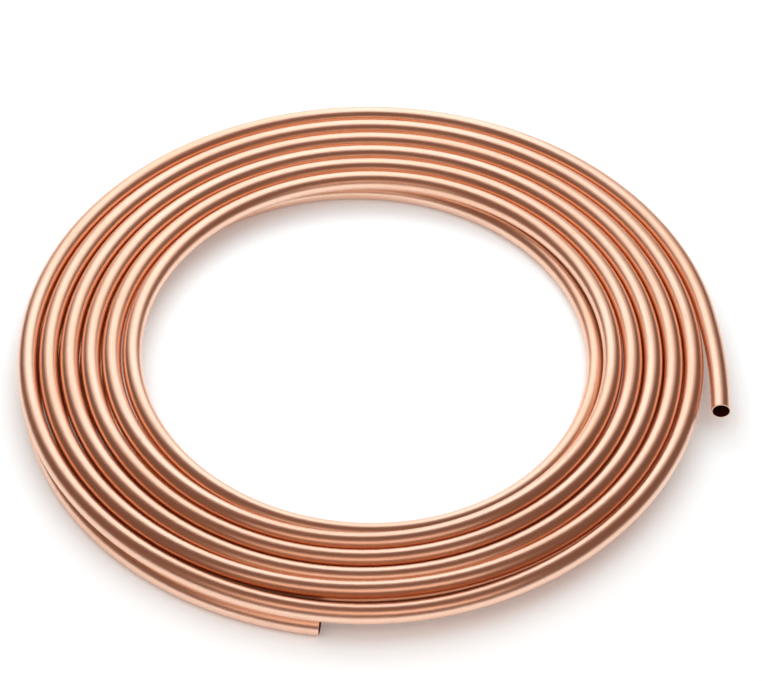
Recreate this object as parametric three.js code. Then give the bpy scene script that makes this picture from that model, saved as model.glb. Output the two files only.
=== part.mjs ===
// A coil of soft copper tube, as it is sold for plumbing and refrigeration: one drawn tube, open at both
// ends, wound flat in two layers. Seen from above it runs clockwise: inwards from the lower end through the
// bottom layer, up a ramp beside the coil's bore, and outwards through the top layer to the upper end.
// Millimetres, +Z up. The coil lies on z = 0, and the origin is the middle of its footprint.

import * as THREE from "three";

// The tube
const TUBE_OD = 15.88;
const TUBE_WALL = 0.89;
const SECTION_SIDES = 8;

// The winding. Turns are counted from its innermost point, below zero in the bottom layer and above zero
// in the top layer. Bearings are in degrees, anticlockwise from +X.
const INNERMOST_RADIUS = 187.1;
const INNERMOST_BEARING = -12;
const BOTTOM_TURNS = 3.765;
const TOP_TURNS = 6.003;
const BOTTOM_TURN_GAP = 3;
const TOP_TURN_GAP = 0.85;
const LAYER_GAP = 0.35;
const TURNBACK_SOFTNESS = 0.08;

// The ramp between the layers. Where it starts, the tube steps in from under the top layer.
const RAMP_START = -0.1;
const RAMP_END = 0.5;
const STEP_IN = 18.2;
const STEP_IN_START = -0.32;
const STEP_IN_END = 0.08;

// The top layer lies off the bottom layer's axis, less so with each turn, and is longer from front to back
// than from side to side.
const OFF_AXIS_X = 3.6;
const OFF_AXIS_Y = 4.5;
const CLOSER_PER_TURN_X = 0.32;
const CLOSER_PER_TURN_Y = 0.4;
const OFF_AXIS_END = 0.35;
const OVALNESS = 1.8;

// Where the hand winding strays from the even spiral, at the front of the coil: the turn in the middle of
// the stray, the turns it takes to fade on each side, and how far the tube lies outwards and upwards there.
const STRAYS = [
  { middle: 3.2, fade: 0.2, outwards: 0.7, upwards: 0 },
  { middle: 4.2, fade: 0.2, outwards: 0, upwards: 3.5 },
  { middle: 5.2, fade: 0.12, outwards: 2.7, upwards: 0 },
];

// The upper end springs outwards from the coil
const TAIL_TURNS = 0.06;
const TAIL_SPRING = 8.7;

const STEPS_PER_TURN = 36;

const BOTTOM_PITCH = TUBE_OD + BOTTOM_TURN_GAP;
const TOP_PITCH = TUBE_OD + TOP_TURN_GAP;
const LAYER_RISE = TUBE_OD + LAYER_GAP;

// The share of the way from a start to an end, with a soft beginning and ending
const easedShare = THREE.MathUtils.smoothstep;

function strayAt(turn, direction) {
  let strayed = 0;
  for (const stray of STRAYS) {
    strayed += stray[direction] * (1 - easedShare(Math.abs(turn - stray.middle), 0, stray.fade));
  }
  return strayed;
}

function bearingAt(turn) {
  return THREE.MathUtils.degToRad(INNERMOST_BEARING) - 2 * Math.PI * turn;
}

function radiusAt(turn) {
  const softened = Math.hypot(turn, TURNBACK_SOFTNESS) - TURNBACK_SOFTNESS;
  const pitch = turn < 0 ? BOTTOM_PITCH : TOP_PITCH;
  const stillToStepIn = STEP_IN * (1 - easedShare(turn, STEP_IN_START, STEP_IN_END));
  const inTail = Math.max(0, 1 - (TOP_TURNS - turn) / TAIL_TURNS);
  const oval = -OVALNESS * Math.cos(2 * bearingAt(turn)) * easedShare(turn, RAMP_START, OFF_AXIS_END);
  const even = INNERMOST_RADIUS + pitch * softened + stillToStepIn;
  return even + oval + TAIL_SPRING * inTail ** 2 + strayAt(turn, "outwards");
}

function axisAt(turn) {
  const share = easedShare(turn, RAMP_START, OFF_AXIS_END);
  const x = share * (OFF_AXIS_X - CLOSER_PER_TURN_X * turn);
  const y = share * (OFF_AXIS_Y - CLOSER_PER_TURN_Y * turn);
  return new THREE.Vector2(x, y);
}

function heightAt(turn) {
  return TUBE_OD / 2 + LAYER_RISE * easedShare(turn, RAMP_START, RAMP_END) + strayAt(turn, "upwards");
}

// The tube's centreline. Its steps are equal in angle, not in length, so that the facets of neighbouring
// turns face each other and keep the gap between them. Its corners lie just outside the true path, which the
// middle of each straight step touches.
class CoilCentreline extends THREE.Curve {
  getPoint(t, target = new THREE.Vector3()) {
    const turn = THREE.MathUtils.lerp(-BOTTOM_TURNS, TOP_TURNS, t);
    const bearing = bearingAt(turn);
    const radius = radiusAt(turn) / Math.cos(Math.PI / STEPS_PER_TURN);
    const axis = axisAt(turn);
    const x = axis.x + radius * Math.cos(bearing);
    const y = axis.y + radius * Math.sin(bearing);
    return target.set(x, y, heightAt(turn));
  }

  getUtoTmapping(u) {
    return u;
  }

  // The section stands upright all along the coil and never twists.
  computeFrenetFrames(steps) {
    const up = new THREE.Vector3(0, 0, 1);
    const frames = { tangents: [], normals: [], binormals: [] };
    for (let step = 0; step <= steps; step++) {
      const tangent = this.getTangentAt(step / steps);
      const outwards = new THREE.Vector3().crossVectors(up, tangent).normalize();
      frames.tangents.push(tangent);
      frames.normals.push(outwards);
      frames.binormals.push(new THREE.Vector3().crossVectors(tangent, outwards));
    }
    return frames;
  }
}

// A circle as a polygon that stands on a flat side, with the circle's radius from its centre to each side.
function flatSidedCircle(radius) {
  const halfSide = Math.PI / SECTION_SIDES;
  const cornerRadius = radius / Math.cos(halfSide);
  return Array.from({ length: SECTION_SIDES }, (_, side) => {
    const angle = (2 * side + 1) * halfSide;
    return new THREE.Vector2(cornerRadius * Math.cos(angle), cornerRadius * Math.sin(angle));
  });
}

function copperTube() {
  const section = new THREE.Shape(flatSidedCircle(TUBE_OD / 2));
  section.holes.push(new THREE.Path(flatSidedCircle(TUBE_OD / 2 - TUBE_WALL)));
  const geometry = new THREE.ExtrudeGeometry(section, {
    extrudePath: new CoilCentreline(),
    steps: Math.round((BOTTOM_TURNS + TOP_TURNS) * STEPS_PER_TURN),
  });
  const copper = new THREE.MeshStandardMaterial({ color: 0xd9916a, roughness: 0.3, metalness: 1 });
  const tube = new THREE.Mesh(geometry, copper);
  tube.name = "copper_tube";
  return tube;
}

const coil = new THREE.Group();
coil.add(copperTube());
const footprint = new THREE.Box3().setFromObject(coil).getCenter(new THREE.Vector3());
coil.position.set(-footprint.x, -footprint.y, 0);

export default coil;
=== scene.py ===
# A coil of soft copper tube, lying flat on a pale studio floor.
# Metres, +Z up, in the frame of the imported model.

import math

import bpy
import numpy as np
from mathutils import Matrix, Vector

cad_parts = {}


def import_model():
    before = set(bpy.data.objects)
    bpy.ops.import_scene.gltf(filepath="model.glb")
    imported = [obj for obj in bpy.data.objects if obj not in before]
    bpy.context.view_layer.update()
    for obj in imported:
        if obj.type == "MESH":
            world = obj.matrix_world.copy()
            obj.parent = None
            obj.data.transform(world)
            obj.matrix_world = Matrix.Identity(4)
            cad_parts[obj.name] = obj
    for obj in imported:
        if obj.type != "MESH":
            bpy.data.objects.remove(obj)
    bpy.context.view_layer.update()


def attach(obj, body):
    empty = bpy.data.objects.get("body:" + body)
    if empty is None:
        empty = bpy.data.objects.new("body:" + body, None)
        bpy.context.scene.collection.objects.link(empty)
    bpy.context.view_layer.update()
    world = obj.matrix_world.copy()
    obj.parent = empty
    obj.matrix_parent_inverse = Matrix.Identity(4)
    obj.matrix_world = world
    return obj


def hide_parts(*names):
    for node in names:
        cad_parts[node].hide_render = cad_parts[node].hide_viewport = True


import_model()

# The tube, and the bevel on the outside of its cut ends
TUBE_OD = 0.01588
TUBE_WALL = 0.00089
TUBE_RADIUS = TUBE_OD / 2
BORE_RADIUS = TUBE_RADIUS - TUBE_WALL
BEVEL = 0.00022

# The winding. Turns are counted from its innermost point, below zero in the bottom layer and above zero
# in the top layer. Bearings are in degrees, anticlockwise from +X.
COIL_AXIS = (-0.00724, -0.005335)
INNERMOST_RADIUS = 0.1871
INNERMOST_BEARING = -12
BOTTOM_TURNS = 3.765
TOP_TURNS = 6.003
BOTTOM_TURN_GAP = 0.003
TOP_TURN_GAP = 0.00085
LAYER_GAP = 0.00035
TURNBACK_SOFTNESS = 0.08

# The ramp between the layers. Where it starts, the tube steps in from under the top layer.
RAMP_START = -0.1
RAMP_END = 0.5
STEP_IN = 0.0182
STEP_IN_START = -0.32
STEP_IN_END = 0.08

# The top layer lies off the bottom layer's axis, less so with each turn, and is longer from front to back
# than from side to side
OFF_AXIS = (0.0036, 0.0045)
CLOSER_PER_TURN = (0.00032, 0.0004)
OFF_AXIS_END = 0.35
OVALNESS = 0.0018

# The upper end springs outwards from the coil
TAIL_TURNS = 0.06
TAIL_SPRING = 0.0087

# Where the hand winding strays from the even spiral: the turn in the middle of the stray, the turns it
# takes to fade on each side, and how far the tube lies outwards and upwards there
STRAYS = [(3.2, 0.2, 0.0007, 0), (4.2, 0.2, 0, 0.0035), (5.2, 0.12, 0.0027, 0)]

# The mesh: rings of points along the tube, whose corners are counted round it from its bottom outwards
STEPS_PER_TURN = 120
SIDES = 24
CORNER_ANGLES = 2 * math.pi * np.arange(SIDES) / SIDES
RIM_RINGS = 3

# The painted shade in the creases between neighbouring turns: how far to the side a point of the tube lies
# where the painted crease shade starts, in shares of the radius, and over how many turns it fades where the
# neighbour ends
CREASE_START = 0.7
CREASE_FADE = 0.1

# The map of the surfaces, in shares of its square. The outside fills rows in its upper part and the bore
# rows in its lower part, and the rims are small patches in the strip between them.
MAP_ROWS = 18
MAP_LEFT = 0.01
MAP_WIDTH = 0.97
ROW_MARGIN = 0.05
OUTSIDE_MAP_BOTTOM = 0.2
OUTSIDE_MAP_HEIGHT = 0.8
BORE_MAP_BOTTOM = 0
BORE_MAP_HEIGHT = 0.18
RIM_MAP_CORNER = (0.1, 0.184)
RIM_PATCH_STEP = (0.0125, 0.004)
RIM_PATCH_SIZE = (0.01, 0.003)
RIM_PATCHES_A_LINE = 64

# The copper, where it is bright, tanned and scuffed, with redder painted shade in its creases, and the bore,
# darkened as painted shade
BRIGHT_COPPER = (0.955, 0.665, 0.525, 1)
TANNED_COPPER = (0.94, 0.54, 0.35, 1)
# Painted shade: the redder colour that the creases are tinted with stands in for the shade and
# inter-reflections between turns
PAINTED_CREASE_SHADE = (0.94, 0.45, 0.22, 1)
# Painted shade: the bore's colours are darkened for the shade inside the tube
PAINTED_SHADE_BORE_BRIGHT = (0.42, 0.13, 0.09, 1)
PAINTED_SHADE_BORE_TANNED = (0.25, 0.07, 0.05, 1)
PAINTED_CREASE_SHADE_SHARE = 0.8
SCUFF_DARKENING = 0.72
COPPER_ROUGHNESS = 0.33
BORE_ROUGHNESS = 0.5

# The studio
FLOOR_COLOR = (0.9, 0.9, 0.9, 1)
FLOOR_GLOW_COLOR = (0.9, 0.97, 1, 1)
FLOOR_GLOW = 0.12
FLOOR_REACH = 12
WORLD_COLOR = (0.19, 0.095, 0.065, 1)

# The camera, at the photograph's viewing angle
CAMERA_AIM = (0.00725, 0.031245, 0)
CAMERA_DISTANCE = 2.862
CAMERA_ELEVATION = math.radians(46.12)
CAMERA_ROLL = 0.0026
CAMERA_LENS = 163.46
CAMERA_SENSOR_WIDTH = 36
CAMERA_REACH = 50


def smoothstep(x, start, end):
    share = np.clip((x - start) / (end - start), 0, 1)
    return share * share * (3 - 2 * share)


def stray(turn, middle, fade):
    """1 at the middle turn, falling smoothly to 0 over the fade on each side."""
    return 1 - smoothstep(np.abs(turn - middle), 0, fade)


def bearing_at(turn):
    return math.radians(INNERMOST_BEARING) - 2 * math.pi * turn


def radius_at(turn):
    softened = np.hypot(turn, TURNBACK_SOFTNESS) - TURNBACK_SOFTNESS
    pitch = TUBE_OD + np.where(turn < 0, BOTTOM_TURN_GAP, TOP_TURN_GAP)
    still_to_step_in = STEP_IN * (1 - smoothstep(turn, STEP_IN_START, STEP_IN_END))
    oval = -OVALNESS * np.cos(2 * bearing_at(turn)) * smoothstep(turn, RAMP_START, OFF_AXIS_END)
    spring = TAIL_SPRING * np.clip(1 - (TOP_TURNS - turn) / TAIL_TURNS, 0, 1) ** 2
    strayed = sum(out * stray(turn, middle, fade) for middle, fade, out, _ in STRAYS)
    return INNERMOST_RADIUS + pitch * softened + still_to_step_in + oval + spring + strayed


def height_at(turn):
    strayed = sum(up * stray(turn, middle, fade) for middle, fade, _, up in STRAYS)
    return TUBE_RADIUS + (TUBE_OD + LAYER_GAP) * smoothstep(turn, RAMP_START, RAMP_END) + strayed


def ring_turns():
    """The turn at each ring, from the lower end of the tube to the upper end."""
    steps = round((BOTTOM_TURNS + TOP_TURNS) * STEPS_PER_TURN)
    return np.linspace(-BOTTOM_TURNS, TOP_TURNS, steps + 1)


def centreline(turn):
    off_axis = smoothstep(turn, RAMP_START, OFF_AXIS_END)
    x = COIL_AXIS[0] + off_axis * (OFF_AXIS[0] - CLOSER_PER_TURN[0] * turn)
    y = COIL_AXIS[1] + off_axis * (OFF_AXIS[1] - CLOSER_PER_TURN[1] * turn)
    x = x + radius_at(turn) * np.cos(bearing_at(turn))
    y = y + radius_at(turn) * np.sin(bearing_at(turn))
    return np.stack([x, y, height_at(turn)], axis=1)


def unit(vectors):
    return vectors / np.linalg.norm(vectors, axis=-1, keepdims=True)


def rings(centres, outwards, ups, radius):
    angle = CORNER_ANGLES - math.pi / 2
    across = outwards[:, None] * np.cos(angle)[:, None] + ups[:, None] * np.sin(angle)[:, None]
    return centres[:, None] + radius * across


def skin_faces(ring_count, first, inwards):
    """Quads between neighbouring rings, whose points are numbered on from first."""
    ring, side = np.meshgrid(np.arange(ring_count - 1), np.arange(SIDES), indexing="ij")
    beside = (side + 1) % SIDES
    low = first + ring * SIDES
    high = low + SIDES
    quads = np.stack([low + side, low + beside, high + beside, high + side], axis=-1).reshape(-1, 4)
    return quads[:, ::-1] if inwards else quads


def tube_mesh():
    turn = ring_turns()
    centres = centreline(turn)
    tangents = unit(np.gradient(centres, axis=0))
    outwards = unit(np.cross((0, 0, 1), tangents))
    ups = np.cross(tangents, outwards)

    # The tube is cut square. Each rim has rings of its own: the end of the outside, the edge of the face
    # that the bevel leaves, and the bore.
    bevelled = centres.copy()
    bevelled[0] += BEVEL * tangents[0]
    bevelled[-1] -= BEVEL * tangents[-1]
    outer = rings(bevelled, outwards, ups, TUBE_RADIUS)
    bore = rings(centres, outwards, ups, BORE_RADIUS)
    face = rings(centres[[0, -1]], outwards[[0, -1]], ups[[0, -1]], TUBE_RADIUS - BEVEL)
    ends = [outer[0], face[0], bore[0], outer[-1], face[1], bore[-1]]
    points = np.concatenate([outer, bore, ends]).reshape(-1, 3)

    first_bore = len(turn) * SIDES
    first_end = 2 * first_bore
    outside = skin_faces(len(turn), 0, inwards=False)
    inside = skin_faces(len(turn), first_bore, inwards=True)
    lower_rim = skin_faces(RIM_RINGS, first_end, inwards=True)
    upper_rim = skin_faces(RIM_RINGS, first_end + RIM_RINGS * SIDES, inwards=False)
    faces = np.concatenate([outside, inside, lower_rim, upper_rim])
    skin_count = len(outside) + len(inside)
    rim_count = len(lower_rim) + len(upper_rim)

    mesh = bpy.data.meshes.new("copper_tube_skin")
    mesh.from_pydata(points.tolist(), [], faces.tolist())
    mesh.polygons.foreach_set("use_smooth", [True] * skin_count + [False] * rim_count)
    mesh.polygons.foreach_set("material_index", [0] * len(outside) + [1] * len(inside) + [0] * rim_count)
    along = np.concatenate([[0], np.cumsum(np.linalg.norm(np.diff(centres, axis=0), axis=1))])
    mark_drawn(mesh, along)
    # The mask for the painted shade in the creases
    mark_painted_crease_shade(mesh, turn)
    unroll(mesh, along, len(outside), len(inside), rim_count)
    return mesh


def mark_drawn(mesh, along):
    """Notes where each point is along the tube and on its circle, in metres, for the marks on the copper."""
    ring_along = np.concatenate([along, along, np.repeat(along[[0, -1]], RIM_RINGS)])
    angle = np.tile(CORNER_ANGLES, len(ring_along))
    across = [TUBE_RADIUS * np.cos(angle), TUBE_RADIUS * np.sin(angle)]
    drawn = np.stack([np.repeat(ring_along, SIDES), *across], axis=1)
    mesh.attributes.new("drawn", "FLOAT_VECTOR", "POINT").data.foreach_set("vector", drawn.ravel())


def mark_painted_crease_shade(mesh, turn):
    """Notes how much each point of the outside is in a crease between two turns, from 0 to 1, as the mask
    for the painted crease shade.
    """
    sideways = np.sin(CORNER_ANGLES)
    turn = turn[:, None]
    below_the_last_turn = smoothstep(TOP_TURNS - 1 - turn, 0, CREASE_FADE)
    above_the_first_turn = smoothstep(BOTTOM_TURNS - 1 + turn, 0, CREASE_FADE)
    outer_neighbour = below_the_last_turn * above_the_first_turn
    inner_neighbour = smoothstep(np.abs(turn), 1 - CREASE_FADE, 1)
    facing_outwards = outer_neighbour * smoothstep(sideways, CREASE_START, 1)
    facing_inwards = inner_neighbour * smoothstep(-sideways, CREASE_START, 1)
    crease = np.zeros(len(mesh.vertices))
    crease[:len(turn) * SIDES] = (facing_outwards + facing_inwards).ravel()
    mesh.attributes.new("crease", "FLOAT", "POINT").data.foreach_set("value", crease)


def skin_map(count, along, bottom, height, inwards):
    """The corners of a skin's quads on the map. Each row holds one length of the tube, unrolled."""
    ring = np.arange(count) // SIDES
    side = np.arange(count) % SIDES
    row = np.minimum(ring * MAP_ROWS // (len(along) - 1), MAP_ROWS - 1)
    row_length = along[-1] / MAP_ROWS
    row_height = height / MAP_ROWS
    side_height = (1 - 2 * ROW_MARGIN) * row_height / SIDES
    near = MAP_LEFT + MAP_WIDTH * (along[ring] / row_length - row)
    far = MAP_LEFT + MAP_WIDTH * (along[ring + 1] / row_length - row)
    low = bottom + (row + ROW_MARGIN) * row_height + side * side_height
    high = low + side_height
    corners = np.stack([near, low, near, high, far, high, far, low], axis=1).reshape(-1, 4, 2)
    return corners[:, ::-1] if inwards else corners


def rim_map(count):
    """The corners of the rims' quads on the map, each a small patch."""
    line, spot = np.divmod(np.arange(count), RIM_PATCHES_A_LINE)
    left = RIM_MAP_CORNER[0] + RIM_PATCH_STEP[0] * spot
    low = RIM_MAP_CORNER[1] + RIM_PATCH_STEP[1] * line
    right = left + RIM_PATCH_SIZE[0]
    high = low + RIM_PATCH_SIZE[1]
    return np.stack([left, low, right, low, right, high, left, high], axis=1).reshape(-1, 4, 2)


def unroll(mesh, along, outside_count, inside_count, rim_count):
    """Lays the surfaces out on the map for baking."""
    outside = skin_map(outside_count, along, OUTSIDE_MAP_BOTTOM, OUTSIDE_MAP_HEIGHT, inwards=False)
    inside = skin_map(inside_count, along, BORE_MAP_BOTTOM, BORE_MAP_HEIGHT, inwards=True)
    corners = np.concatenate([outside, inside, rim_map(rim_count)])
    mesh.uv_layers.new(name="OFBake").data.foreach_set("uv", corners.ravel())


class Nodes:
    """Adds nodes to a material and joins them."""

    def __init__(self, name):
        self.material = bpy.data.materials.new(name)
        self.material.use_nodes = True
        self.tree = self.material.node_tree
        self.shader = self.tree.nodes["Principled BSDF"]

    def add(self, kind, inputs, **settings):
        node = self.tree.nodes.new(kind)
        for key, value in settings.items():
            setattr(node, key, value)
        for key, value in inputs.items():
            self.put(value, node.inputs[key])
        return node

    def put(self, value, socket):
        if isinstance(value, bpy.types.NodeSocket):
            self.tree.links.new(value, socket)
        else:
            socket.default_value = value

    def noise(self, place, stretch, scale, detail, roughness):
        """Noise over the drawn place, stretched along the tube."""
        squeezed = self.add("ShaderNodeVectorMath", {0: place, 1: (1 / stretch, 1, 1)}, operation="MULTIPLY")
        inputs = {"Vector": squeezed.outputs[0], "Scale": scale, "Detail": detail, "Roughness": roughness}
        return self.add("ShaderNodeTexNoise", inputs).outputs["Fac"]

    def spread(self, value, before, after):
        """The value, moved from one range to another and kept inside it."""
        inputs = {"Value": value, "From Min": before[0], "From Max": before[1]}
        inputs.update({"To Min": after[0], "To Max": after[1]})
        return self.add("ShaderNodeMapRange", inputs).outputs["Result"]

    def blend(self, share, first, second):
        # Inputs 6 and 7 and output 2 are the colours of a Mix node
        return self.add("ShaderNodeMix", {0: share, 6: first, 7: second}, data_type="RGBA").outputs[2]

    def total(self, first, second):
        return self.add("ShaderNodeMath", {0: first, 1: second}, operation="ADD").outputs[0]

    def times(self, value, factor):
        return self.add("ShaderNodeMath", {0: value, 1: factor}, operation="MULTIPLY").outputs[0]


def copper(name, bright, tanned, roughness):
    """Drawn copper: fine lines along the tube, patches of a warmer tan, small handling marks and dents, and
    a redder painted shade in the creases, standing in for the shade and inter-reflections between turns."""
    made = Nodes(name)
    place = made.add("ShaderNodeAttribute", {}, attribute_name="drawn").outputs["Vector"]
    lines = made.noise(place, stretch=90, scale=2600, detail=2, roughness=0.6)
    streaks = made.noise(place, stretch=25, scale=420, detail=3, roughness=0.6)
    patches = made.noise(place, stretch=4, scale=16, detail=4, roughness=0.55)
    marks = made.noise(place, stretch=2.5, scale=330, detail=2, roughness=0.5)
    grain = made.noise(place, stretch=1, scale=2400, detail=2, roughness=0.5)
    dents = made.noise(place, stretch=3, scale=55, detail=1, roughness=0.4)
    scuffs = made.spread(marks, (0.68, 0.78), (0, 0.35))

    tan = made.total(made.spread(patches, (0.42, 0.7), (0, 0.5)),
                     made.spread(streaks, (0.45, 0.75), (0, 0.3)))
    scuffed = [share * SCUFF_DARKENING for share in bright[:3]] + [1]
    crease = made.add("ShaderNodeAttribute", {}, attribute_name="crease").outputs["Fac"]
    color = made.blend(tan, bright, tanned)
    color = made.blend(scuffs, color, scuffed)
    # Painted shade: the creases are tinted redder for the shade and inter-reflections between neighbouring
    # turns
    color = made.blend(made.times(crease, PAINTED_CREASE_SHADE_SHARE), color, PAINTED_CREASE_SHADE)

    rough = made.total(made.spread(streaks, (0.3, 0.7), (roughness - 0.03, roughness + 0.05)),
                       made.spread(patches, (0.3, 0.7), (-0.02, 0.03)))
    rough = made.total(rough, made.times(scuffs, 0.25))

    height = made.total(made.times(lines, 0.35), made.times(grain, 0.35))
    height = made.total(height, made.times(dents, 1.6))
    bump = made.add("ShaderNodeBump", {"Height": height, "Strength": 0.35, "Distance": 0.00006})

    made.put(color, made.shader.inputs["Base Color"])
    made.put(1, made.shader.inputs["Metallic"])
    made.put(rough, made.shader.inputs["Roughness"])
    made.put(bump.outputs["Normal"], made.shader.inputs["Normal"])
    return made.material


def copper_tube():
    mesh = tube_mesh()
    mesh.materials.append(copper("copper", BRIGHT_COPPER, TANNED_COPPER, COPPER_ROUGHNESS))
    # The bore gets a darker copy of the copper, as painted shade inside the tube
    mesh.materials.append(copper("copper_bore_painted_shade", PAINTED_SHADE_BORE_BRIGHT, PAINTED_SHADE_BORE_TANNED, BORE_ROUGHNESS))
    tube = bpy.data.objects.new("copper_tube_skin", mesh)
    bpy.context.scene.collection.objects.link(tube)
    return tube


def softbox(name, place, aim, width, height, radiance):
    """A rectangular area light at a place, facing the aim, with its radiance in red, green and blue."""
    data = bpy.data.lights.new(name, "AREA")
    data.shape = "RECTANGLE"
    data.size = width
    data.size_y = height
    data.color = [share / max(radiance) for share in radiance]
    data.energy = max(radiance) * math.pi * width * height
    light = bpy.data.objects.new(name, data)
    light.location = place
    light.rotation_mode = "QUATERNION"
    light.rotation_quaternion = (Vector(place) - Vector(aim)).to_track_quat("Z", "Y")
    light.visible_camera = False
    bpy.context.scene.collection.objects.link(light)
    return light


def lights():
    """The light comes from behind, as in the photograph: a softbox with a wider glow round it."""
    softbox("back_softbox", place=(-0.11, 0.695, 0.465), aim=(-0.11, 0.167, 0), width=0.72, height=0.92,
            radiance=(0.76, 0.82, 0.87))
    softbox("back_glow", place=(-0.11, 0.71, 0.483), aim=(-0.11, 0.182, 0), width=1.35, height=0.95,
            radiance=(0.56, 0.55, 0.52))
    # The overhead light whitens the floor, and the copper doesn't mirror it
    overhead = softbox("overhead_softbox", place=(0, 0.3, 2.5), aim=(0, 0.3, 0), width=4.5, height=4.5,
                       radiance=(1.35, 1.56, 1.62))
    overhead.visible_glossy = False
    softbox("front_card", place=(0, -0.59, 0.455), aim=(0, -0.27, 0), width=0.9, height=0.24,
            radiance=(1.1, 0.85, 0.7))


def floor():
    material = bpy.data.materials.new("floor_white")
    material.use_nodes = True
    shader = material.node_tree.nodes["Principled BSDF"]
    shader.inputs["Base Color"].default_value = FLOOR_COLOR
    shader.inputs["Roughness"].default_value = 1
    shader.inputs["Specular IOR Level"].default_value = 0
    shader.inputs["Emission Color"].default_value = FLOOR_GLOW_COLOR
    shader.inputs["Emission Strength"].default_value = FLOOR_GLOW
    mesh = bpy.data.meshes.new("studio_floor")
    corners = [(x * FLOOR_REACH, y * FLOOR_REACH, 0) for x, y in ((-1, -1), (1, -1), (1, 1), (-1, 1))]
    mesh.from_pydata(corners, [], [(0, 1, 2, 3)])
    mesh.materials.append(material)
    plane = bpy.data.objects.new("studio_floor", mesh)
    bpy.context.scene.collection.objects.link(plane)


def camera():
    right = Vector((1, 0, 0))
    forward = Vector((0, math.cos(CAMERA_ELEVATION), -math.sin(CAMERA_ELEVATION)))
    up = right.cross(forward)
    rolled_right = math.cos(CAMERA_ROLL) * right + math.sin(CAMERA_ROLL) * up
    rolled_up = math.cos(CAMERA_ROLL) * up - math.sin(CAMERA_ROLL) * right
    data = bpy.data.cameras.new("camera")
    data.lens = CAMERA_LENS
    data.sensor_width = CAMERA_SENSOR_WIDTH
    data.clip_end = CAMERA_REACH
    seen_from = bpy.data.objects.new("camera", data)
    place = Matrix.Translation(Vector(CAMERA_AIM) - CAMERA_DISTANCE * forward)
    turned = Matrix((rolled_right, rolled_up, -forward)).transposed()
    seen_from.matrix_world = place @ turned.to_4x4()
    bpy.context.scene.collection.objects.link(seen_from)
    bpy.context.scene.camera = seen_from


def world():
    made = bpy.data.worlds.new("studio")
    made.use_nodes = True
    background = made.node_tree.nodes["Background"]
    background.inputs["Color"].default_value = WORLD_COLOR
    background.inputs["Strength"].default_value = 1
    bpy.context.scene.world = made


camera()
floor()
world()
lights()
bpy.context.scene.view_settings.view_transform = "Standard"

tube = copper_tube()
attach(tube, "root")
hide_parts("copper_tube")
